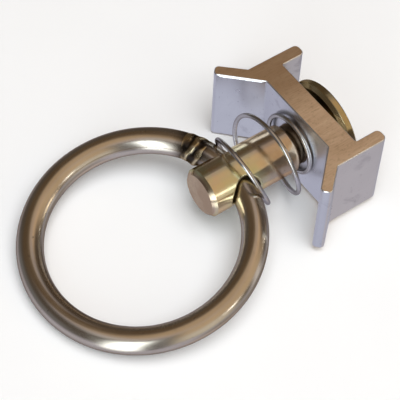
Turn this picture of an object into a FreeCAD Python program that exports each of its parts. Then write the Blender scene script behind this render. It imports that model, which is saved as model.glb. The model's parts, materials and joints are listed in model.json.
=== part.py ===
import FreeCAD, Part
import math
import os

import Sketcher

# Roof anchor.  An extruded aluminium block slides on the neck of a stud, between the stud's shank
# and a round clamp head.  A tapered spring round the shank presses the block against the head's
# hub, and a welded ring hangs in the cross hole near the stud's free end.
#
# Row frame in millimetres: +Z is the block's extrusion direction, +X runs along the stud from the
# ring to the head, and +Y across the web.  The origin is on the block's lower cut end, in the
# middle of the web, straight below the stud's axis.

DIMENSIONS = {
    # the extruded block
    "block_length": 21.7,
    "block_width": 34.0,
    "web_thickness": 6.25,
    "back_arm_thickness": 3.35,
    "back_arm_reach": 9.6,  # from the web's middle plane to the back arms' tips
    "notch_setback": 4.5,  # from the web's middle plane to the outer notch
    "front_arm_root": 11.55,  # half the distance between the front arms at the web
    "front_arm_length": 12.45,  # along the inner side
    "front_arm_angle": 44.0,  # between the front arms and the stud's axis
    "front_arm_tip": 2.75,  # thickness at the tip
    "back_tip_round": 1.3,
    "front_tip_round": 1.0,
    "front_root_round": 0.8,
    "back_root_round": 0.4,
    "cut_edge_break": 0.22,
    # the stud, along its own axis
    "shank_diameter": 12.0,
    "shank_front": 29.8,  # from the web's middle plane to the free end
    "shank_chamfer": 1.0,
    "shoulder_gap": 2.45,  # from the shoulder to the web, at rest
    "shoulder_round": 0.6,
    "eye_diameter": 8.0,
    "eye_setback": 20.6,  # from the web's middle plane to the cross hole
    "eye_round": 0.45,
    "neck_diameter": 10.0,
    "bore_clearance": 0.06,  # radial, between the neck and the block
    "tenon_diameter": 7.0,
    "tenon_clearance": 0.05,  # radial, between the tenon and the clamp head
    "rivet_diameter": 9.6,
    "rivet_height": 1.0,
    "rivet_round": 0.6,
    "stud_swivel": 1.95,  # degrees about the stud's axis, at rest
    # the clamp head
    "head_diameter": 24.0,
    "head_gap": 0.95,  # between the web and the head's flat side, at rest
    "head_bevel": 0.9,  # on the front edge, at 45 degrees
    "head_rim": 2.3,
    "head_rise": 1.5,  # the dome's height above the rim
    "head_crown": 22.0,  # the dome's radius
    "head_land": 11.0,  # diameter of the flat land on the dome
    "head_edge_round": 0.3,
    "hub_diameter": 12.4,
    "contact_gap": 0.02,
    # the ring
    "ring_radius": 25.45,  # to the middle of the wire
    "ring_wire": 6.3,
    "ring_back_play": 0.2,  # the wire sits this far behind the cross hole's axis
    "ring_side_play": 0.3,
    "ring_tilt": 8.85,  # degrees, far side low
    "weld_place": 27.0,  # degrees round the ring from the stud
    "weld_span": 10.0,  # degrees of the ring that the weld fills
    "weld_proud": 0.15,
    "weld_round": 0.12,
    # the spring
    "spring_wire": 1.1,
    "spring_front_radius": 9.05,
    "spring_belly_radius": 11.2,
    "spring_end_radius": 7.2,
    "spring_front": 18.05,  # from the web's middle plane to the front coil
    "spring_front_rise": 7.4,  # how far the front coil climbs towards the web
    "spring_lean": 3.0,  # how far the front coil leans over the ring
    "spring_end_rise": 0.35,  # how far the closed coil still climbs
    # along the spring's wire, in turns: its two ends, and where each change of its coils starts
    # and how many turns it takes
    "spring_start": -0.12,
    "spring_end": 2.95,
    "widen_from": 0.5,
    "widen_turns": 0.5,
    "narrow_from": 1.3,
    "narrow_turns": 1.0,
    "climb_from": 0.4,
    "climb_turns": 0.8,
    "return_from": 1.35,
    "return_turns": 0.62,
    "close_from": 1.95,
    "close_turns": 1.0,
    "upright_from": 0.1,
    "upright_turns": 1.7,
}

SPRING_STEPS_PER_TURN = 24
SAME_PLACE = 1e-3  # two places closer than this are one


def add_sheet(doc):
    """The driving dimensions, one row each, with the dimension's name as its cell's alias."""
    sheet = doc.addObject("Spreadsheet::Sheet", "dims")
    for row, (alias, value) in enumerate(DIMENSIONS.items(), start=1):
        sheet.set(f"A{row}", alias)
        sheet.set(f"B{row}", str(value))
        sheet.setAlias(f"B{row}", alias)
    doc.recompute()
    return sheet


def value_of(sheet, expression):
    return float(sheet.evalExpression(expression))


def new_body(doc, name):
    body = doc.addObject("PartDesign::Body", name)
    body.Label = name
    return body


def new_sketch(body, name, plane):
    """An empty sketch on one of the body's own origin planes."""
    sketch = body.newObject("Sketcher::SketchObject", name)
    origin_plane = next(f for f in body.Origin.OriginFeatures if f.Role == plane)
    sketch.AttachmentSupport = [(origin_plane, "")]
    sketch.MapMode = "FlatFace"
    return sketch


def bind(sketch, constraint, expression):
    """Adds a constraint whose value follows an expression of the sheet."""
    index = sketch.addConstraint(constraint)
    sketch.setExpression(f"Constraints[{index}]", expression)


def place_point(sketch, sheet, side, point, corner):
    """Ties one point of a side to its two coordinates, which are expressions of the sheet."""
    for kind, expression in zip(("DistanceX", "DistanceY"), corner):
        distance = Sketcher.Constraint(kind, -1, 1, side, point, value_of(sheet, expression))
        bind(sketch, distance, expression)


def draw_outline(sketch, sheet, corners, arcs=None):
    """A closed outline through the corners, whose coordinates are expressions of the sheet.
    arcs maps a corner's index to (radius, sag) of the arc that leads from it to the next one."""
    arcs = arcs or {}
    places = [FreeCAD.Vector(*(value_of(sheet, e) for e in corner), 0) for corner in corners]
    joins = []
    for index, start in enumerate(places):
        end = places[(index + 1) % len(places)]
        if index not in arcs:
            side = sketch.addGeometry(Part.LineSegment(start, end), False)
            joins.append((side, 1, side, 2))
            continue
        radius, sag = arcs[index]
        chord = end - start
        across = FreeCAD.Vector(chord.y, -chord.x, 0).normalize()
        middle = (start + end) / 2 + across * sag
        side = sketch.addGeometry(Part.Arc(start, middle, end), False)
        first = sketch.getPoint(side, 1)
        same_way = first.distanceToPoint(start) < first.distanceToPoint(end)
        joins.append((side, 1, side, 2) if same_way else (side, 2, side, 1))
        bind(sketch, Sketcher.Constraint("Radius", side, value_of(sheet, radius)), radius)
    for index, (side, start_point, _, end_point) in enumerate(joins):
        following, following_start = joins[(index + 1) % len(joins)][:2]
        meet = Sketcher.Constraint("Coincident", side, end_point, following, following_start)
        sketch.addConstraint(meet)
        place_point(sketch, sheet, side, start_point, corners[index])


def draw_circle(sketch, sheet, centre, radius):
    """A circle whose centre and radius are expressions of the sheet."""
    place = FreeCAD.Vector(*(value_of(sheet, e) for e in centre), 0)
    circle = Part.Circle(place, FreeCAD.Vector(0, 0, 1), value_of(sheet, radius))
    side = sketch.addGeometry(circle, False)
    place_point(sketch, sheet, side, 3, centre)
    bind(sketch, Sketcher.Constraint("Radius", side, value_of(sheet, radius)), radius)


def edges_where(feature, wanted):
    """The names of the feature's edges that pass a test."""
    return [f"Edge{n}" for n, edge in enumerate(feature.Shape.Edges, start=1) if wanted(edge)]


def dress_edges(body, kind, name, size, wanted):
    """Rounds (kind Fillet) or breaks (kind Chamfer) the edges of the body's tip that pass a test."""
    base = body.Tip
    edges = edges_where(base, wanted)
    if not edges:
        raise RuntimeError(f"{name} found no edges")
    dressed = body.newObject(f"PartDesign::{kind}", name)
    dressed.Base = (base, edges)
    dressed.setExpression({"Fillet": "Radius", "Chamfer": "Size"}[kind], size)
    body.Document.recompute()


def round_edges(body, name, radius, wanted):
    dress_edges(body, "Fillet", name, radius, wanted)


def break_edges(body, name, size, wanted):
    dress_edges(body, "Chamfer", name, size, wanted)


def revolve_about_x(body, sketch, name):
    turned = body.newObject("PartDesign::Revolution", name)
    turned.Profile = sketch
    turned.ReferenceAxis = (sketch, ["H_Axis"])
    turned.Angle = 360
    body.Document.recompute()


def bore_through(body, name, plane, centre, radius):
    """A round hole right through the body, square to one of its origin planes."""
    circle = new_sketch(body, f"{name}_circle", plane)
    draw_circle(circle, body.Document.dims, centre, radius)
    hole = body.newObject("PartDesign::Pocket", name)
    hole.Profile = circle
    hole.Type = "ThroughAll"
    hole.Midplane = True
    body.Document.recompute()


def put_on_stud_axis(feature):
    """Lifts a piece that is made about its own X axis to the stud's axis, and swivels it."""
    feature.setExpression("Placement.Base.z", "dims.block_length / 2")
    feature.setExpression("Placement.Rotation.Axis.x", "1")
    feature.setExpression("Placement.Rotation.Axis.z", "0")
    feature.setExpression("Placement.Rotation.Angle", "dims.stud_swivel")


def upright_at(sheet, corners):
    """A test for the vertical edges that stand at the corners, on either side of the middle."""
    places = [[value_of(sheet, expression) for expression in corner] for corner in corners]

    def test(edge):
        box = edge.BoundBox
        upright = max(box.XLength, box.YLength) < SAME_PLACE
        x, y = box.Center.x, abs(box.Center.y)
        return upright and any(math.hypot(x - px, y - py) < SAME_PLACE for px, py in places)

    return test


def circle_about_x(sheet, x, radius):
    """A test for the circle about the X axis that has that place and radius."""
    place, reach = value_of(sheet, x), value_of(sheet, radius)

    def test(edge):
        box = edge.BoundBox
        flat = box.XLength < SAME_PLACE and abs(box.XMin - place) < SAME_PLACE
        return flat and abs(box.ZMax - reach) < SAME_PLACE

    return test


def make_slide_block(doc, sheet):
    """The extrusion: a web, two back arms that straddle the rail, and two splayed front arms."""
    body = new_body(doc, "slide_block")
    reach_x = "dims.front_arm_length * cos(dims.front_arm_angle)"
    reach_y = "dims.front_arm_length * sin(dims.front_arm_angle)"
    front = "-dims.web_thickness / 2"
    back = "dims.web_thickness / 2"
    side = "dims.block_width / 2"
    inside = "dims.block_width / 2 - dims.back_arm_thickness"
    tip_inner = (f"{front} - {reach_x}", f"dims.front_arm_root + {reach_y}")
    tip_outer = (
        f"{tip_inner[0]} + dims.front_arm_tip * sin(dims.front_arm_angle)",
        f"{tip_inner[1]} + dims.front_arm_tip * cos(dims.front_arm_angle)",
    )
    corners = [
        (front, "0"),
        (back, "0"),
        (back, inside),
        ("dims.back_arm_reach", inside),
        ("dims.back_arm_reach", side),
        ("-dims.notch_setback", side),
        tip_outer,
        tip_inner,
        (front, "dims.front_arm_root"),
    ]
    profile = new_sketch(body, "half_section", "XY_Plane")
    draw_outline(profile, sheet, corners)
    half = body.newObject("PartDesign::Pad", "half_extrusion")
    half.Profile = profile
    half.setExpression("Length", "dims.block_length")
    doc.recompute()
    whole = body.newObject("PartDesign::Mirrored", "whole_extrusion")
    whole.Originals = [half]
    whole.MirrorPlane = (profile, ["H_Axis"])
    whole.Refine = True
    body.Tip = whole
    doc.recompute()

    back_tips, front_tips = upright_at(sheet, corners[3:5]), upright_at(sheet, corners[6:8])
    round_edges(body, "back_tips", "dims.back_tip_round", back_tips)
    round_edges(body, "front_tips", "dims.front_tip_round", front_tips)
    front_root, back_root = upright_at(sheet, corners[8:]), upright_at(sheet, corners[2:3])
    round_edges(body, "front_roots", "dims.front_root_round", front_root)
    round_edges(body, "back_roots", "dims.back_root_round", back_root)

    bore_radius = "dims.neck_diameter / 2 + dims.bore_clearance"
    bore_through(body, "bore", "YZ_Plane", ("0", "dims.block_length / 2"), bore_radius)

    top = value_of(sheet, "dims.block_length")

    def on_cut_end(edge):
        box = edge.BoundBox
        return max(abs(box.ZMin), abs(box.ZMax)) < SAME_PLACE or abs(box.ZMin - top) < SAME_PLACE

    break_edges(body, "cut_ends", "dims.cut_edge_break", on_cut_end)
    return body


def make_clamp_head(doc, sheet):
    """The round head on the stud's tenon: a flat disc with a domed back and a hub that stops the web."""
    body = new_body(doc, "clamp_head")
    hub_face = "dims.web_thickness / 2 + dims.contact_gap"
    flat = "dims.web_thickness / 2 + dims.head_gap"
    bevel_back = f"{flat} + dims.head_bevel"
    rim_back = f"{flat} + dims.head_rim"
    land = f"{rim_back} + dims.head_rise"
    bore = "dims.tenon_diameter / 2 + dims.tenon_clearance"
    corners = [
        (hub_face, bore),
        (hub_face, "dims.hub_diameter / 2"),
        (flat, "dims.hub_diameter / 2"),
        (flat, "dims.head_diameter / 2 - dims.head_bevel"),
        (bevel_back, "dims.head_diameter / 2"),
        (rim_back, "dims.head_diameter / 2"),
        (land, "dims.head_land / 2"),
        (land, bore),
    ]
    profile = new_sketch(body, "half_section", "XZ_Plane")
    draw_outline(profile, sheet, corners, arcs={5: ("dims.head_crown", -0.3)})
    revolve_about_x(body, profile, "disc")
    for name, place in (("front_rim", bevel_back), ("back_rim", rim_back)):
        rim = circle_about_x(sheet, place, "dims.head_diameter / 2")
        round_edges(body, name, "dims.head_edge_round", rim)
    body.setExpression("Placement.Base.z", "dims.block_length / 2")
    return body


def make_stud(doc, sheet):
    """Shank, neck and tenon turned from one bar, with the tenon's end riveted over the clamp head."""
    body = new_body(doc, "stud")
    front = "-dims.shank_front"
    shoulder = "-dims.web_thickness / 2 - dims.shoulder_gap"
    neck_end = "dims.web_thickness / 2"
    land = "dims.web_thickness / 2 + dims.head_gap + dims.head_rim + dims.head_rise + dims.contact_gap"
    corners = [
        (front, "0"),
        (front, "dims.shank_diameter / 2"),
        (shoulder, "dims.shank_diameter / 2"),
        (shoulder, "dims.neck_diameter / 2"),
        (neck_end, "dims.neck_diameter / 2"),
        (neck_end, "dims.tenon_diameter / 2"),
        (land, "dims.tenon_diameter / 2"),
        (land, "dims.rivet_diameter / 2"),
        (f"{land} + dims.rivet_height", "dims.rivet_diameter / 2"),
        (f"{land} + dims.rivet_height", "0"),
    ]
    profile = new_sketch(body, "half_section", "XZ_Plane")
    draw_outline(profile, sheet, corners)
    revolve_about_x(body, profile, "turned_bar")

    free_end = circle_about_x(sheet, front, "dims.shank_diameter / 2")
    shoulder_edge = circle_about_x(sheet, shoulder, "dims.shank_diameter / 2")
    riveted_end = circle_about_x(sheet, f"{land} + dims.rivet_height", "dims.rivet_diameter / 2")
    break_edges(body, "free_end", "dims.shank_chamfer", free_end)
    round_edges(body, "shoulder", "dims.shoulder_round", shoulder_edge)
    round_edges(body, "riveted_end", "dims.rivet_round", riveted_end)

    bore_through(body, "eye", "XZ_Plane", ("-dims.eye_setback", "0"), "dims.eye_diameter / 2")
    eye_place = value_of(sheet, "-dims.eye_setback")
    eye_radius = value_of(sheet, "dims.eye_diameter / 2")
    shank_radius = value_of(sheet, "dims.shank_diameter / 2")

    def is_eye_mouth(edge):
        middle = edge.valueAt((edge.FirstParameter + edge.LastParameter) / 2)
        on_eye = abs(math.hypot(middle.x - eye_place, middle.z) - eye_radius) < SAME_PLACE
        return on_eye and abs(math.hypot(middle.y, middle.z) - shank_radius) < SAME_PLACE

    round_edges(body, "eye_mouths", "dims.eye_round", is_eye_mouth)
    put_on_stud_axis(body)
    return body


def ring_placement(sheet):
    """The ring hangs through the cross hole, and its far side rests level with the cut end."""
    swivel = FreeCAD.Rotation(FreeCAD.Vector(1, 0, 0), value_of(sheet, "dims.stud_swivel"))
    tilt = FreeCAD.Rotation(FreeCAD.Vector(0, 1, 0), -value_of(sheet, "dims.ring_tilt"))
    apex = FreeCAD.Vector(
        value_of(sheet, "dims.ring_back_play - dims.eye_setback"),
        -value_of(sheet, "dims.ring_side_play"),
        0,
    )
    to_centre = tilt.multVec(FreeCAD.Vector(-value_of(sheet, "dims.ring_radius"), 0, 0))
    stud_axis = FreeCAD.Vector(0, 0, value_of(sheet, "dims.block_length / 2"))
    base = stud_axis + swivel.multVec(apex + to_centre)
    return FreeCAD.Placement(base, swivel.multiply(tilt))


def make_ring(doc, sheet):
    """The round bar, bent to a ring, with its two ends short of each other by the weld."""
    ring = doc.addObject("Part::Torus", "ring")
    ring.Label = "ring"
    ring.setExpression("Radius1", "dims.ring_radius")
    ring.setExpression("Radius2", "dims.ring_wire / 2")
    ring.setExpression("Angle3", "360 - dims.weld_span")
    doc.recompute()
    past_weld = value_of(sheet, "dims.weld_place + dims.weld_span / 2")
    turn = FreeCAD.Rotation(FreeCAD.Vector(0, 0, 1), past_weld)
    ring.Placement = ring_placement(sheet).multiply(FreeCAD.Placement(FreeCAD.Vector(), turn))
    return ring


def make_ring_weld(doc, sheet):
    """The butt weld that closes the ring, left slightly proud of the bar."""
    collar = doc.addObject("Part::Torus", "weld_collar")
    collar.setExpression("Radius1", "dims.ring_radius")
    collar.setExpression("Radius2", "dims.ring_wire / 2 + dims.weld_proud")
    collar.setExpression("Angle3", "dims.weld_span")
    doc.recompute()
    weld = doc.addObject("Part::Fillet", "ring_weld")
    weld.Label = "ring_weld"
    weld.Base = collar
    radius = value_of(sheet, "dims.weld_round")
    section = collar.Radius2.Value
    ends = [
        number
        for number, edge in enumerate(collar.Shape.Edges, start=1)
        if abs(edge.Curve.Radius - section) < SAME_PLACE
    ]
    weld.Edges = [(number, radius, radius) for number in ends]
    doc.recompute()
    before_weld = value_of(sheet, "dims.weld_place - dims.weld_span / 2")
    turn = FreeCAD.Rotation(FreeCAD.Vector(0, 0, 1), before_weld)
    weld.Placement = ring_placement(sheet).multiply(FreeCAD.Placement(FreeCAD.Vector(), turn))
    return weld


def ease(share):
    """A smooth step from 0 to 1."""
    share = min(1.0, max(0.0, share))
    return share * share * (3 - 2 * share)


def spring_point(sheet, turn):
    """The middle of the spring's wire.  The front coil leans over the ring, the next one is the
    widest, and the last one lies against the web."""

    def dim(name):
        return value_of(sheet, f"dims.{name}")

    def done(change):
        return ease((turn - dim(f"{change}_from")) / dim(f"{change}_turns"))

    radius = dim("spring_front_radius")
    radius += (dim("spring_belly_radius") - dim("spring_front_radius")) * done("widen")
    radius -= (dim("spring_belly_radius") - dim("spring_end_radius")) * done("narrow")

    front = -dim("spring_front")
    risen = front + dim("spring_front_rise")
    seat = -(dim("web_thickness") + dim("spring_wire")) / 2 - dim("contact_gap")
    closed = seat - dim("spring_end_rise")
    angle = 2 * math.pi * turn
    along = front + (risen - front) * done("climb")
    along += (closed - risen) * done("return")
    along += (seat - closed) * done("close")
    along -= dim("spring_lean") * math.sin(angle) * (1 - done("upright"))
    return FreeCAD.Vector(along, radius * math.cos(angle), radius * math.sin(angle))


def make_spring(doc, sheet):
    """Round wire swept along the tapered coils."""
    start, end = value_of(sheet, "dims.spring_start"), value_of(sheet, "dims.spring_end")
    steps = round((end - start) * SPRING_STEPS_PER_TURN)
    points = [spring_point(sheet, start + (end - start) * n / steps) for n in range(steps + 1)]
    path = Part.BSplineCurve()
    path.interpolate(points)
    tangent = path.tangent(path.FirstParameter)[0]
    circle = Part.Circle(points[0], tangent, value_of(sheet, "dims.spring_wire / 2"))
    section = Part.Wire(circle.toShape())
    spring = doc.addObject("Part::Feature", "spring")
    spring.Label = "spring"
    spring.Shape = Part.Wire(path.toShape()).makePipeShell([section], True, True)
    put_on_stud_axis(spring)
    doc.recompute()
    return spring


def check_document(doc, pieces):
    """Stops if a feature failed or a piece isn't one valid solid."""
    for feature in doc.Objects:
        if {"Invalid", "Error"} & set(feature.State):
            raise RuntimeError(f"{feature.Name} is {feature.State}")
    for piece in pieces:
        shape = piece.Shape
        if shape.isNull() or not shape.isValid() or len(shape.Solids) != 1:
            raise RuntimeError(f"{piece.Label} isn't one valid solid")


def main():
    doc = FreeCAD.newDocument("roof_anchor")
    sheet = add_sheet(doc)
    makers = (make_slide_block, make_clamp_head, make_stud, make_ring, make_ring_weld, make_spring)
    pieces = [make(doc, sheet) for make in makers]
    doc.recompute()
    check_document(doc, pieces)
    os.makedirs("parts", exist_ok=True)
    for piece in pieces:
        piece.Shape.exportStep(f"parts/{piece.Label}.step")


main()
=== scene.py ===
import json
import math

import bmesh
import bpy
from mathutils import Matrix, Vector, noise


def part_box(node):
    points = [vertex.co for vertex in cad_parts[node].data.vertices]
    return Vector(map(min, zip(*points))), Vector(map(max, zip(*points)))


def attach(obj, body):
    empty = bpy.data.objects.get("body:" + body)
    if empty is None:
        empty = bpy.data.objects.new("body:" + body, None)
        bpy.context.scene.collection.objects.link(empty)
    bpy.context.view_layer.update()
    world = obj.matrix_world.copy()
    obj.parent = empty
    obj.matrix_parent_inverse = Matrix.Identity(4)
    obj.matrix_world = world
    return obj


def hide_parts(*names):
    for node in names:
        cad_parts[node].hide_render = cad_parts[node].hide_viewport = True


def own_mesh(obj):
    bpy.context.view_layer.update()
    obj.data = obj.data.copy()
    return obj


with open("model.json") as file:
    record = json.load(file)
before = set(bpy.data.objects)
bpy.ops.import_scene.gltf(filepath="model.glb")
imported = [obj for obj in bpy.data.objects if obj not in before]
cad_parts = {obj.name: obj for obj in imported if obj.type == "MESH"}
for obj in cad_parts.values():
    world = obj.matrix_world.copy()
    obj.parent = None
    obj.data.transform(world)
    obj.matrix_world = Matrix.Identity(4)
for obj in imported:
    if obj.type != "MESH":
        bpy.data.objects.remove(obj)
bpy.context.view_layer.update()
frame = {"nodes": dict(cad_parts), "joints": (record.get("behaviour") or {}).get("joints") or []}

# Metres, in the frame of the CAD model: +Z along the block's extrusion, +X along the stud.
MM = 0.001

# The camera looks at the middle of the picture from a distance, turned and raised in degrees.
CAMERA_TURN = -37.25
CAMERA_RISE = 53.95
CAMERA_ROLL = 2.73
CAMERA_DISTANCE = 342.4 * MM
CAMERA_AIM = Vector((-28.97, 0.80, 7.26)) * MM
CAMERA_LENS = 134.65

# The few places that the looks need and the frame's boxes don't give.
FREE_END = -29.8 * MM  # of the stud
SHOULDER = -5.6 * MM  # where the stud's shank ends and its neck starts
RING_RADIUS = 25.45 * MM  # to the middle of the wire
RING_WIRE = 6.3 * MM
RING_TILT = math.radians(8.85)
RING_BACK_PLAY = 0.2 * MM
RING_SIDE_PLAY = 0.3 * MM
WELD_PLACE = math.radians(26.5)
WELD_REACH = math.radians(7.5)
FRONT_ARM_ANGLE = math.radians(44)  # between a front arm and the stud
BURR_LIP = 0.26 * MM  # how far the saw burr stands out
BURR_DEPTH = 0.50 * MM  # how far it hangs down
BURR_STEPS = 160
SPRING_SPLIT = -14.0 * MM  # where the wire crosses a plane across the stud only once


# ---------------------------------------------------------------- node helpers


class Nodes:
    """Adds nodes to a tree.  An input may be a number, a colour, a vector or another socket."""

    def __init__(self, tree):
        self.tree = tree
        tree.nodes.clear()

    def add(self, kind, inputs=None, **settings):
        node = self.tree.nodes.new("ShaderNode" + kind)
        for name, value in settings.items():
            setattr(node, name, value)
        for name, value in (inputs or {}).items():
            self.put(node.inputs[name], value)
        return node

    def put(self, socket, value):
        if isinstance(value, bpy.types.NodeSocket):
            self.tree.links.new(value, socket)
        elif isinstance(value, tuple) and socket.type == "RGBA" and len(value) == 3:
            socket.default_value = (*value, 1)
        else:
            socket.default_value = value

    def math(self, operation, *values, clamp=False):
        node = self.add("Math", operation=operation, use_clamp=clamp)
        for socket, value in zip(node.inputs, values):
            self.put(socket, value)
        return node.outputs[0]

    def step(self, value, low, high):
        """A smooth step from 0 at low to 1 at high."""
        settings = {"Value": value, "From Min": low, "From Max": high}
        return self.add("MapRange", settings, interpolation_type="SMOOTHSTEP").outputs[0]

    def between(self, value, low, high):
        """Maps a 0 to 1 value to a range."""
        return self.add("MapRange", {"Value": value, "To Min": low, "To Max": high}).outputs[0]

    def mix(self, share, first, second):
        """Blends two colours: the first at share 0, the second at share 1."""
        node = self.add("Mix", data_type="RGBA")
        self.put(node.inputs["Factor"], share)
        first_colour, second_colour = node.inputs[6:8]
        self.put(first_colour, first)
        self.put(second_colour, second)
        return node.outputs[2]

    def noise(self, place, scale, detail=3.0, rough=0.55, twist=0.0):
        inputs = {"Vector": place, "Scale": scale, "Detail": detail, "Roughness": rough}
        inputs["Distortion"] = twist
        return self.add("TexNoise", inputs).outputs[0]

    def stretch(self, place, factors):
        node = self.add("VectorMath", operation="MULTIPLY")
        self.put(node.inputs[0], place)
        self.put(node.inputs[1], factors)
        return node.outputs[0]

    def ramp(self, value, stops):
        """stops is a list of (place, colour)."""
        node = self.add("ValToRGB", {"Fac": value})
        points = node.color_ramp.elements
        while len(points) < len(stops):
            points.new(0.5)
        for point, (place, colour) in zip(points, stops):
            point.position = place
            point.color = (*colour, 1)
        return node.outputs[0]

    def bump(self, height, depth, strength=1.0, normal=None):
        inputs = {"Height": height, "Distance": depth, "Strength": strength}
        if normal is not None:
            inputs["Normal"] = normal
        return self.add("Bump", inputs).outputs[0]


def new_material(name):
    material = bpy.data.materials.new(name)
    material.use_nodes = True
    return material, Nodes(material.node_tree)


def finish_metal(nodes, colour, rough, normal, **more):
    """Closes a metal's tree.  more holds further inputs of the shader, by name."""
    shader = nodes.add("BsdfPrincipled", {"Metallic": 1.0, "Base Color": colour, "Roughness": rough})
    nodes.put(shader.inputs["Normal"], normal)
    for name, value in more.items():
        nodes.put(shader.inputs[name.replace("_", " ")], value)
    nodes.put(nodes.add("OutputMaterial").inputs["Surface"], shader.outputs[0])


# ---------------------------------------------------------------- materials


def make_aluminium():
    """Mill-finish extrusion: die lines along Z on the sides, saw marks along X on the cut ends,
    and bright bare metal where the edges are broken."""
    material, nodes = new_material("block_aluminium")
    place = nodes.add("TexCoord").outputs["Object"]
    normal = nodes.add("NewGeometry").outputs["Normal"]
    upright = nodes.math("ABSOLUTE", nodes.add("SeparateXYZ", {"Vector": normal}).outputs["Z"])
    cut = nodes.step(upright, 0.88, 0.97)
    edge = nodes.math("MULTIPLY", nodes.step(upright, 0.15, 0.40), nodes.step(upright, 0.95, 0.85))

    die_lines = nodes.noise(nodes.stretch(place, (1, 1, 0.02)), 2600, 2)
    broad_lines = nodes.noise(nodes.stretch(place, (1, 1, 0.03)), 420, 3)
    saw_lines = nodes.noise(nodes.stretch(place, (0.06, 1, 1)), 3600, 3)
    saw_bands = nodes.noise(nodes.stretch(place, (0.25, 1, 1)), 330, 3)
    cloud = nodes.noise(place, 110, 4, 0.6)
    smudge = nodes.step(nodes.noise(place, 170, 4, 0.55, 0.6), 0.57, 0.72)
    specks = nodes.step(nodes.noise(place, 1500, 2), 0.68, 0.76)

    side_colour = nodes.mix(cloud, (0.74, 0.75, 0.79), (0.90, 0.91, 0.94))
    side_colour = nodes.mix(nodes.math("MULTIPLY", smudge, 0.40), side_colour, (0.42, 0.41, 0.46))
    side_colour = nodes.mix(nodes.math("MULTIPLY", specks, 0.45), side_colour, (0.30, 0.29, 0.33))
    streak = nodes.math("MULTIPLY_ADD", saw_lines, 0.45, nodes.math("MULTIPLY", saw_bands, 0.55))
    cut_colour = nodes.ramp(streak, [(0.30, (0.52, 0.35, 0.21)), (0.50, (0.64, 0.44, 0.28)),
                                     (0.70, (0.74, 0.55, 0.36))])
    # the cut faces are made darker towards +Y
    darker_to_plus_y = nodes.step(nodes.add("SeparateXYZ", {"Vector": place}).outputs["Y"], -2 * MM, 10 * MM)
    cut_colour = nodes.mix(nodes.math("MULTIPLY", darker_to_plus_y, 0.62), cut_colour, (0.22, 0.12, 0.05))
    torn = nodes.step(nodes.noise(nodes.stretch(place, (0.5, 1, 1)), 2200, 3, 0.6), 0.52, 0.70)
    cut_colour = nodes.mix(nodes.math("MULTIPLY", torn, 0.28), cut_colour, (0.20, 0.11, 0.05))
    colour = nodes.mix(cut, side_colour, cut_colour)
    colour = nodes.mix(nodes.math("MULTIPLY", edge, 0.8), colour, (0.98, 0.96, 0.94))

    lines = nodes.math("MULTIPLY_ADD", die_lines, 0.5, nodes.math("MULTIPLY", broad_lines, 0.5))
    height = nodes.mix(cut, lines, streak)
    rough = nodes.mix(cut, nodes.between(cloud, 0.24, 0.34), (0.50, 0.50, 0.50))
    metal = nodes.math("SUBTRACT", 1.0, nodes.math("MULTIPLY", cut, 0.45))
    finish_metal(nodes, colour, rough, nodes.bump(height, 0.015 * MM, 0.8), Metallic=metal)
    return material


def make_chromate(name, marks, axis_height):
    """Zinc plate with yellow passivation.  The turned stud is olive and gold towards the ring and
    copper towards the block and on its end, with painted shade darkening the neck; the faced head is
    browner."""
    material, nodes = new_material(name)
    place = nodes.add("TexCoord").outputs["Object"]
    parts = nodes.add("SeparateXYZ", {"Vector": place})
    patches = nodes.noise(nodes.stretch(place, (1.0, 0.7, 0.7)), 120, 3, 0.5, 0.8)
    mottle = nodes.noise(place, 700, 3, 0.6)
    wandering = nodes.math("MULTIPLY_ADD", patches, 4 * MM, parts.outputs["X"])
    along = nodes.step(wandering, -16 * MM, -9 * MM)
    end = nodes.step(parts.outputs["X"], FREE_END + 0.7 * MM, FREE_END + 0.2 * MM)
    film = nodes.math("MULTIPLY_ADD", mottle, 0.14, nodes.math("MULTIPLY", patches, 0.55))
    film = nodes.math("ADD", film, nodes.math("MULTIPLY", nodes.math("MAXIMUM", along, end), -0.22))
    if marks == "faced":
        film = nodes.math("MULTIPLY_ADD", mottle, 0.14, nodes.math("MULTIPLY", patches, 0.60))
    colour = nodes.ramp(film, [
        (0.10, (0.70, 0.54, 0.39)),
        (0.20, (0.82, 0.67, 0.49)),
        (0.28, (0.92, 0.76, 0.52)),
        (0.36, (0.88, 0.80, 0.52)),
        (0.44, (0.76, 0.80, 0.50)),
        (0.54, (0.90, 0.76, 0.58)),
    ])
    if marks == "turned":
        lines = nodes.noise(nodes.stretch(place, (1.0, 0.02, 0.02)), 2600, 2)
    else:
        height = nodes.math("SUBTRACT", parts.outputs["Z"], axis_height)
        radius = nodes.math("SQRT", nodes.math("ADD",
                                               nodes.math("POWER", parts.outputs["Y"], 2.0),
                                               nodes.math("POWER", height, 2.0)))
        rings = nodes.add("CombineXYZ", {"X": radius, "Y": parts.outputs["X"]})
        lines = nodes.noise(rings.outputs[0], 2200, 3)
        colour = nodes.mix(nodes.between(patches, 0.35, 0.80), colour, (0.52, 0.36, 0.15))
    pits = nodes.step(nodes.noise(place, 1300, 2, 0.4), 0.72, 0.80)
    colour = nodes.mix(nodes.math("MULTIPLY", pits, 0.7), colour, (0.16, 0.12, 0.08))
    if marks == "turned":
        # painted shade: the neck beyond the shoulder, sunk between the shoulder, the coil and the
        # block, is painted dark
        neck_shade = nodes.step(parts.outputs["X"], SHOULDER - 0.5 * MM, SHOULDER + 0.2 * MM)
        colour = nodes.mix(nodes.math("MULTIPLY", neck_shade, 0.75), colour, (0.14, 0.10, 0.06))
    rough = nodes.between(mottle, 0.13, 0.26)
    normal = nodes.bump(lines, 0.006 * MM, 0.5)
    finish_metal(nodes, colour, rough, normal, Specular_Tint=(0.62, 0.52, 0.42, 1.0))
    return material


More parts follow.
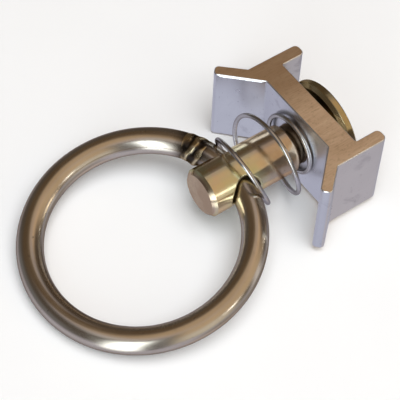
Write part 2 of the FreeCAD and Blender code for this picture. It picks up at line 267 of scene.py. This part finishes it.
def make_ring_plate():
    """Drawn bar, polished and plated: smooth, with faint drawing lines along the bar, small
    nicks, and smut next to the weld."""
    material, nodes = new_material("ring_plate")
    place = nodes.add("TexCoord").outputs["Object"]
    along = nodes.add("UVMap").outputs[0]
    lines = nodes.noise(nodes.stretch(along, (30, 260, 1)), 1.0, 3)
    cloud = nodes.noise(place, 90, 3, 0.5, 0.5)
    colour = nodes.mix(cloud, (0.66, 0.57, 0.46), (0.86, 0.79, 0.69))
    smut = nodes.add("Attribute", attribute_name="smut").outputs["Fac"]
    smut = nodes.math("MULTIPLY", smut, nodes.between(nodes.noise(place, 900, 3), 0.4, 1.0))
    colour = nodes.mix(smut, colour, (0.16, 0.13, 0.10))
    nicks = nodes.step(nodes.noise(place, 1100, 2, 0.4), 0.72, 0.78)
    colour = nodes.mix(nodes.math("MULTIPLY", nicks, 0.5), colour, (0.25, 0.22, 0.20))
    rough = nodes.between(nodes.noise(place, 300, 3), 0.16, 0.26)
    normal = nodes.bump(lines, 0.008 * MM, 0.5)
    normal = nodes.bump(nicks, 0.02 * MM, 0.5, normal)
    finish_metal(nodes, colour, rough, normal, Specular_Tint=(0.36, 0.30, 0.25, 1.0))
    return material


def make_weld_metal():
    """A dressed weld under the plate, with painted shade in its hollows and painted highlight on its
    crests.
    """
    material, nodes = new_material("ring_weld_metal")
    place = nodes.add("TexCoord").outputs["Object"]
    crest = nodes.add("Attribute", attribute_name="crest").outputs["Fac"]
    blotch = nodes.noise(place, 700, 3, 0.6, 0.5)
    # painted shade and highlight: the ripple hollows are painted dark and the crests golden
    level = nodes.math("MULTIPLY_ADD", blotch, 0.35, nodes.math("MULTIPLY", crest, 0.75))
    colour = nodes.ramp(level, [(0.30, (0.06, 0.05, 0.04)), (0.58, (0.24, 0.19, 0.12)),
                                (0.85, (0.72, 0.60, 0.38))])
    rough = nodes.between(blotch, 0.16, 0.34)
    normal = nodes.bump(nodes.noise(place, 1800, 3), 0.02 * MM, 0.6)
    finish_metal(nodes, colour, rough, normal, Specular_Tint=(0.5, 0.42, 0.34, 1.0))
    return material


def make_spring_steel():
    """Bright drawn wire, a little cloudy."""
    material, nodes = new_material("spring_wire_steel")
    place = nodes.add("TexCoord").outputs["Object"]
    cloud = nodes.noise(place, 260, 3, 0.6)
    colour = nodes.mix(cloud, (0.56, 0.53, 0.51), (0.86, 0.85, 0.84))
    lines = nodes.noise(place, 4000, 2)
    rough = nodes.between(cloud, 0.14, 0.26)
    normal = nodes.bump(lines, 0.003 * MM, 0.5)
    finish_metal(nodes, colour, rough, normal, Specular_Tint=(0.45, 0.42, 0.40, 1.0))
    return material


def make_burr_metal():
    """Bare metal torn up by the saw: bright and rough."""
    material, nodes = new_material("saw_burr_metal")
    place = nodes.add("TexCoord").outputs["Object"]
    torn = nodes.noise(place, 1600, 3, 0.6)
    colour = nodes.mix(torn, (0.80, 0.80, 0.82), (1.0, 1.0, 1.0))
    finish_metal(nodes, colour, nodes.between(torn, 0.22, 0.42), nodes.bump(torn, 0.03 * MM, 0.7))
    return material


# ---------------------------------------------------------------- mesh helpers


def new_object(name, mesh, material):
    """An object in the scene with that mesh, which gets that one material."""
    piece = bpy.data.objects.new(name, mesh)
    bpy.context.scene.collection.objects.link(piece)
    mesh.materials.clear()
    mesh.materials.append(material)
    return piece


def stand_for(piece, node, body):
    """The piece rides on the body, is shown instead of the CAD node, and keeps its material slot."""
    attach(piece, body)
    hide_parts(node)


def copy_of_node(node):
    """The CAD node's mesh as a bmesh with its doubled points joined."""
    mesh = bmesh.new()
    mesh.from_mesh(frame["nodes"][node].data)
    bmesh.ops.remove_doubles(mesh, verts=mesh.verts, dist=0.002 * MM)
    return mesh


# ---------------------------------------------------------------- the pieces


def joint(name):
    """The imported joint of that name."""
    return next(j for j in frame["joints"] if j["name"] == name)


def ring_frame():
    """The ring's own frame: its middle, and the plane that it lies in."""
    swing = joint("ring_swing")
    eye, axis = Vector(swing["pos_m"]), Vector(swing["axis"])
    swivel = Matrix.Rotation(math.atan2(axis.z, axis.y), 4, "X")
    tilt = Matrix.Rotation(-RING_TILT, 4, "Y")
    near = Matrix.Translation((RING_BACK_PLAY, -RING_SIDE_PLAY, 0))
    back = Matrix.Translation((-RING_RADIUS, 0, 0))
    return Matrix.Translation(eye) @ swivel @ near @ tilt @ back


def wire_mesh(name, start, end, steps, sides, radius_at, extras):
    """A round bar bent to part of a circle, its radius given by radius_at(turn, side).  extras maps
    the name of a point attribute to a function of (turn, side)."""
    place = ring_frame()
    shape = bmesh.new()
    uv_layer = shape.loops.layers.uv.new("UVMap")
    layers = {key: shape.verts.layers.float.new(key) for key in extras}
    rows = []
    for step in range(steps + 1):
        turn = start + (end - start) * step / steps
        row = []
        for side in range(sides):
            angle = math.tau * side / sides
            radius = radius_at(turn, angle)
            out = RING_RADIUS + radius * math.cos(angle)
            point = Vector((out * math.cos(turn), out * math.sin(turn), radius * math.sin(angle)))
            vert = shape.verts.new(place @ point)
            for key, layer in layers.items():
                vert[layer] = extras[key](turn, angle)
            row.append(vert)
        rows.append(row)
    for step in range(steps):
        for side in range(sides):
            following = (side + 1) % sides
            corners = (rows[step][side], rows[step + 1][side], rows[step + 1][following],
                       rows[step][following])
            face = shape.faces.new(corners)
            places = ((step, side), (step + 1, side), (step + 1, side + 1), (step, side + 1))
            for loop, (u, v) in zip(face.loops, places):
                loop[uv_layer].uv = (u / steps, v / sides)
    shape.faces.new(rows[0])
    shape.faces.new(reversed(rows[-1]))
    bmesh.ops.recalc_face_normals(shape, faces=shape.faces)
    mesh = bpy.data.meshes.new(name)
    shape.to_mesh(mesh)
    shape.free()
    mesh.shade_smooth()
    return mesh


def make_ring_bar(material):
    """The bar of the ring, a little uneven as a bent bar is, with smut next to the weld."""
    def radius_at(turn, angle):
        place = Vector((math.cos(turn), math.sin(turn), 0.35 * math.cos(angle)))
        wave = noise.noise(place * 3.0 + Vector((4.1, 0, 0)))
        return RING_WIRE / 2 * (1 + 0.006 * wave) - 0.01 * MM

    def smut_at(turn, angle):
        away = abs((turn - WELD_PLACE + math.pi) % math.tau - math.pi) - WELD_REACH
        wander = 0.5 + 0.5 * noise.noise(Vector((math.cos(angle), math.sin(angle), 0)) * 1.7)
        return max(0.0, 1.0 - away / math.radians(3 + 5 * wander)) ** 1.5

    start = WELD_PLACE + WELD_REACH * 0.55
    end = WELD_PLACE - WELD_REACH * 0.55 + math.tau
    mesh = wire_mesh("ring_bar", start, end, 420, 64, radius_at, {"smut": smut_at})
    stand_for(new_object("ring_bar", mesh, material), "ring", "ring")


def make_weld_bead(material):
    """The butt weld, dressed nearly flush, with crescent ripples and a lump on its inner side."""
    def share(turn):
        return (turn - WELD_PLACE) / WELD_REACH

    def ripple(turn, angle):
        bow = share(turn) + 0.45 * math.cos(angle - 0.9)
        wander = noise.noise(Vector((share(turn) * 1.5, math.cos(angle), math.sin(angle))) * 1.6)
        return 0.5 + 0.5 * math.sin(math.tau * (bow * 1.15 + 0.30 * wander))

    def lump(turn, angle):
        off = math.atan2(math.sin(angle - 3.9), math.cos(angle - 3.9))
        return math.exp(-(off / 0.7) ** 2 - ((share(turn) + 0.15) / 0.45) ** 2)

    def radius_at(turn, angle):
        edge = max(0.0, 1 - share(turn) ** 2)
        crown = 0.10 * edge + 0.16 * edge * ripple(turn, angle) + 0.42 * lump(turn, angle)
        wander = noise.noise(Vector((share(turn) * 2, 2 * math.cos(angle), 2 * math.sin(angle))))
        return RING_WIRE / 2 + (crown - 0.07 + 0.06 * edge * wander) * MM

    start, end = WELD_PLACE - WELD_REACH, WELD_PLACE + WELD_REACH
    mesh = wire_mesh("weld_bead", start, end, 90, 128, radius_at, {"crest": ripple})
    stand_for(new_object("weld_bead", mesh, material), "ring_weld", "ring")


def make_block(material):
    """The extrusion with its flat faces whole and its sharp edges rounded."""
    shape = copy_of_node("slide_block")
    bmesh.ops.dissolve_limit(shape, angle_limit=math.radians(1.0), verts=shape.verts, edges=shape.edges)
    sharp = [e for e in shape.edges if e.is_manifold and e.calc_face_angle(0) > math.radians(28)]
    bmesh.ops.bevel(shape, geom=sharp, offset=0.09 * MM, segments=2, profile=0.5, affect="EDGES",
                    clamp_overlap=True)
    mesh = bpy.data.meshes.new("block")
    shape.to_mesh(mesh)
    shape.free()
    mesh.shade_smooth()
    piece = new_object("block", mesh, material)
    smooth = piece.modifiers.new("faces", "WEIGHTED_NORMAL")
    smooth.keep_sharp = True
    smooth.weight = 100
    stand_for(piece, "slide_block", "slide_block")


def make_saw_burr(material):
    """The lip that the saw pushed over the inner top edge of the +Y front arm, thicker and thinner
    along the arm and fading out at both ends."""
    inward = Vector((-math.sin(FRONT_ARM_ANGLE), -math.cos(FRONT_ARM_ANGLE), 0))
    along = Vector((-math.cos(FRONT_ARM_ANGLE), math.sin(FRONT_ARM_ANGLE), 0))
    block = copy_of_node("slide_block")
    block.normal_update()
    facing = [f for f in block.faces if f.normal.dot(inward) > 0.999]
    widest = max(facing, key=lambda f: f.calc_area())
    plane = widest.calc_center_median().dot(inward)
    points = [v.co.copy() for f in facing
              if abs(f.calc_center_median().dot(inward) - plane) < 0.01 * MM for v in f.verts]
    block.free()
    start, end = min(p.dot(along) for p in points), max(p.dot(along) for p in points)
    face, top = points[0].dot(inward), max(p.z for p in points)
    buried = -0.03 * MM
    shape = bmesh.new()
    rows = []
    for step in range(BURR_STEPS + 1):
        share = step / BURR_STEPS
        fade = min(1.0, share * 14, (1 - share) * 14)
        wander = 0.5 + 0.5 * noise.noise(Vector((share * 13, 2.7, 0)))
        ragged = 0.5 + 0.5 * noise.noise(Vector((share * 47, 8.1, 0)))
        lip = BURR_LIP * fade * (0.55 + 0.35 * wander + 0.25 * ragged)
        depth = BURR_DEPTH * (0.15 + 0.85 * fade) * (0.6 + 0.5 * wander + 0.2 * ragged)
        middle = along * (start + (end - start) * share)
        outline = ((buried, 0), (lip * 0.25, 0), (lip, lip), (lip * 0.7, 0.7 * depth), (buried, depth))
        rows.append([shape.verts.new(middle + inward * (face + out) + Vector((0, 0, top - drop)))
                     for out, drop in outline])
    sides = len(rows[0])
    for first, second in zip(rows, rows[1:]):
        for side in range(sides):
            following = (side + 1) % sides
            shape.faces.new((first[side], second[side], second[following], first[following]))
    shape.faces.new(rows[0])
    shape.faces.new(reversed(rows[-1]))
    bmesh.ops.recalc_face_normals(shape, faces=shape.faces)
    mesh = bpy.data.meshes.new("saw_burr")
    shape.to_mesh(mesh)
    shape.free()
    mesh.shade_smooth()
    mesh.set_sharp_from_angle(angle=math.radians(50))
    piece = new_object("saw_burr", mesh, material)
    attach(piece, "slide_block")


def spring_part(name, material, front):
    """The part of the wire in front of SPRING_SPLIT, or the part behind it, closed at the cut."""
    shape = copy_of_node("spring")
    everything = shape.verts[:] + shape.edges[:] + shape.faces[:]
    cut = bmesh.ops.bisect_plane(shape, geom=everything, dist=0.001 * MM, plane_co=(SPRING_SPLIT, 0, 0),
                                 plane_no=(1, 0, 0), clear_outer=front, clear_inner=not front)
    rim = [item for item in cut["geom_cut"] if isinstance(item, bmesh.types.BMEdge)]
    bmesh.ops.holes_fill(shape, edges=rim, sides=0)
    mesh = bpy.data.meshes.new(name)
    shape.to_mesh(mesh)
    shape.free()
    mesh.shade_smooth()
    piece = new_object(name, mesh, material)
    stand_for(piece, "spring", "stud")
    return piece


def make_spring(material):
    """The wire in two parts that meet where it crosses one plane; both parts ride on the stud."""
    front = spring_part("spring_front", material, True)
    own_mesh(front)
    back = spring_part("spring_back", material, False)
    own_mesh(back)


def paint_node(node, material):
    """Gives a carried-over CAD node its material; its mesh stays as it is."""
    mesh_object = frame["nodes"][node]
    for slot in mesh_object.material_slots:
        slot.material = material


# ---------------------------------------------------------------- floor, lights, camera

# What surrounds the object, as soft-edged patches: azimuth, elevation, their half widths and
# their softness in degrees, and the light's colour.
SURROUNDINGS = [
    ("walls", 0, 22, 400, 34, 16, (0.085, 0.070, 0.058)),
    ("ceiling", 0, 90, 400, 28, 16, (0.44, 0.33, 0.22)),
    ("tan_wall", -66, 40, 50, 24, 14, (0.52, 0.40, 0.27)),
    ("lamp_glow", -4, 56, 22, 9, 12, (0.62, 0.45, 0.29)),
    ("cream_band", -84, 6, 26, 20, 12, (0.60, 0.56, 0.48)),
    ("warm_table", -40, -36, 44, 12, 12, (0.27, 0.245, 0.225)),
    ("pale_table", -53, -60, 26, 12, 10, (0.56, 0.50, 0.50)),
    ("dark_room", 26, 10, 26, 36, 10, (0.070, 0.050, 0.035)),
    ("grey_wall", -165, 60, 20, 10, 10, (0.50, 0.48, 0.47)),
    ("dark_corner", 98, 53, 40, 20, 10, (0.10, 0.068, 0.04)),
    ("side_wall", 150, 4, 30, 12, 12, (0.16, 0.16, 0.17)),
    ("curtain", -119, 12, 8, 42, 8, (0.15, 0.15, 0.16)),
    ("narrow_window", -34, 0, 6, 18, 7, (0.75, 0.72, 0.71)),
    ("window", -143, 8, 10, 38, 8, (3.0, 3.3, 3.5)),
    ("window_sill", -145, -30, 8, 9, 5, (1.2, 1.3, 1.4)),
    ("small_lamp", -13, 14, 1.5, 1.5, 1.0, (9.0, 8.8, 8.4)),
    ("desk_lamp", -64, 17, 3, 3, 2.0, (5.0, 4.8, 4.6)),
]
TABLE_LIGHT = (0.47, 0.47, 0.56)


def make_world():
    """Patches of room round the object for the metal to reflect; the camera sees plain white."""
    world = bpy.data.worlds.new("room")
    bpy.context.scene.world = world
    world.use_nodes = True
    nodes = Nodes(world.node_tree)
    direction = nodes.add("TexCoord").outputs["Generated"]
    parts = nodes.add("SeparateXYZ", {"Vector": direction})
    x, y, z = parts.outputs
    azimuth = nodes.math("MULTIPLY", nodes.math("ARCTAN2", y, x), math.degrees(1))
    elevation = nodes.math("MULTIPLY", nodes.math("ARCSINE", z), math.degrees(1))
    colour = TABLE_LIGHT
    for _, middle, level, wide, tall, soft, light in SURROUNDINGS:
        turned = nodes.math("SUBTRACT", azimuth, float(middle))
        turned = nodes.math("ABSOLUTE", nodes.math("WRAP", turned, 180.0, -180.0))
        across = nodes.step(turned, wide + soft, wide - soft)
        lifted = nodes.math("ABSOLUTE", nodes.math("SUBTRACT", elevation, float(level)))
        up = nodes.step(lifted, tall + soft, tall - soft)
        colour = nodes.mix(nodes.math("MULTIPLY", across, up), colour, light)
    seen = nodes.add("LightPath").outputs["Is Camera Ray"]
    colour = nodes.mix(seen, colour, (1.0, 1.0, 1.0))
    shader = nodes.add("Background", {"Color": colour, "Strength": 1.0})
    nodes.put(nodes.add("OutputWorld").inputs["Surface"], shader.outputs[0])


def make_floor():
    """A plain pale floor that the head's rim and the ring rest on."""
    ring_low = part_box("ring")[0]
    head_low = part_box("clamp_head")[0]
    slope = (head_low.z - ring_low.z) / (head_low.x - ring_low.x)
    _, across, up = joint("ring_swing")["axis"]
    lean = up / across
    mesh = bpy.data.meshes.new("floor")
    size = 2.0
    base = head_low.z - 0.05 * MM
    corners = []
    for x, y in ((-size, -size), (size, -size), (size, size), (-size, size)):
        corners.append((x, y, base + slope * (x - head_low.x) + lean * y))
    mesh.from_pydata(corners, [], [(0, 1, 2, 3)])
    material, nodes = new_material("floor_paper")
    place = nodes.add("TexCoord").outputs["Object"]
    grain = nodes.noise(place, 60, 3)
    colour = nodes.mix(grain, (0.92, 0.945, 0.965), (0.94, 0.965, 0.985))
    shader = nodes.add("BsdfPrincipled", {"Base Color": colour, "Roughness": 0.9})
    nodes.put(nodes.add("OutputMaterial").inputs["Surface"], shader.outputs[0])
    floor = new_object("floor", mesh, material)
    floor.visible_glossy = False


def make_light(name, turn, rise, distance, size, power, colour):
    """A soft round lamp, turned and raised in degrees about the middle of the picture."""
    light = bpy.data.lights.new(name, "AREA")
    light.shape = "DISK"
    light.size = size
    light.energy = power
    light.color = colour
    turn, rise = math.radians(turn), math.radians(rise)
    towards = Vector((math.cos(turn) * math.cos(rise), math.sin(turn) * math.cos(rise), math.sin(rise)))
    lamp = bpy.data.objects.new(name, light)
    bpy.context.scene.collection.objects.link(lamp)
    lamp.location = CAMERA_AIM + towards * distance
    lamp.rotation_mode = "QUATERNION"
    lamp.rotation_quaternion = towards.to_track_quat("Z", "Y")
    lamp.visible_glossy = False


def make_camera():
    """The camera, from its turn, rise and roll about the point that it looks at."""
    turn, rise, roll = (math.radians(a) for a in (CAMERA_TURN, CAMERA_RISE, CAMERA_ROLL))
    back = Vector((math.sin(turn) * math.cos(rise), -math.cos(turn) * math.cos(rise), math.sin(rise)))
    right = Vector((math.cos(turn), math.sin(turn), 0))
    up = back.cross(right)
    rolled_right = right * math.cos(roll) + up * math.sin(roll)
    rolled_up = up * math.cos(roll) - right * math.sin(roll)
    data = bpy.data.cameras.new("camera")
    data.lens = CAMERA_LENS
    data.clip_start = 0.01
    camera = bpy.data.objects.new("camera", data)
    bpy.context.scene.collection.objects.link(camera)
    place = CAMERA_AIM + back * CAMERA_DISTANCE
    axes = Matrix((rolled_right, rolled_up, back)).transposed().to_4x4()
    camera.matrix_world = Matrix.Translation(place) @ axes
    bpy.context.scene.camera = camera


# ---------------------------------------------------------------- build

axis_height = joint("stud_swivel")["pos_m"][2]
aluminium = make_aluminium()
make_block(aluminium)
make_saw_burr(make_burr_metal())
make_spring(make_spring_steel())
paint_node("stud", make_chromate("stud_chromate", "turned", axis_height))
paint_node("clamp_head", make_chromate("head_chromate", "faced", axis_height))
make_ring_bar(make_ring_plate())
make_weld_bead(make_weld_metal())

make_world()
make_floor()
make_light("softbox_above", -100, 70, 1.0, 0.9, 8.9, (0.97, 0.98, 1.0))
make_camera()
bpy.context.scene.view_settings.view_transform = "Standard"
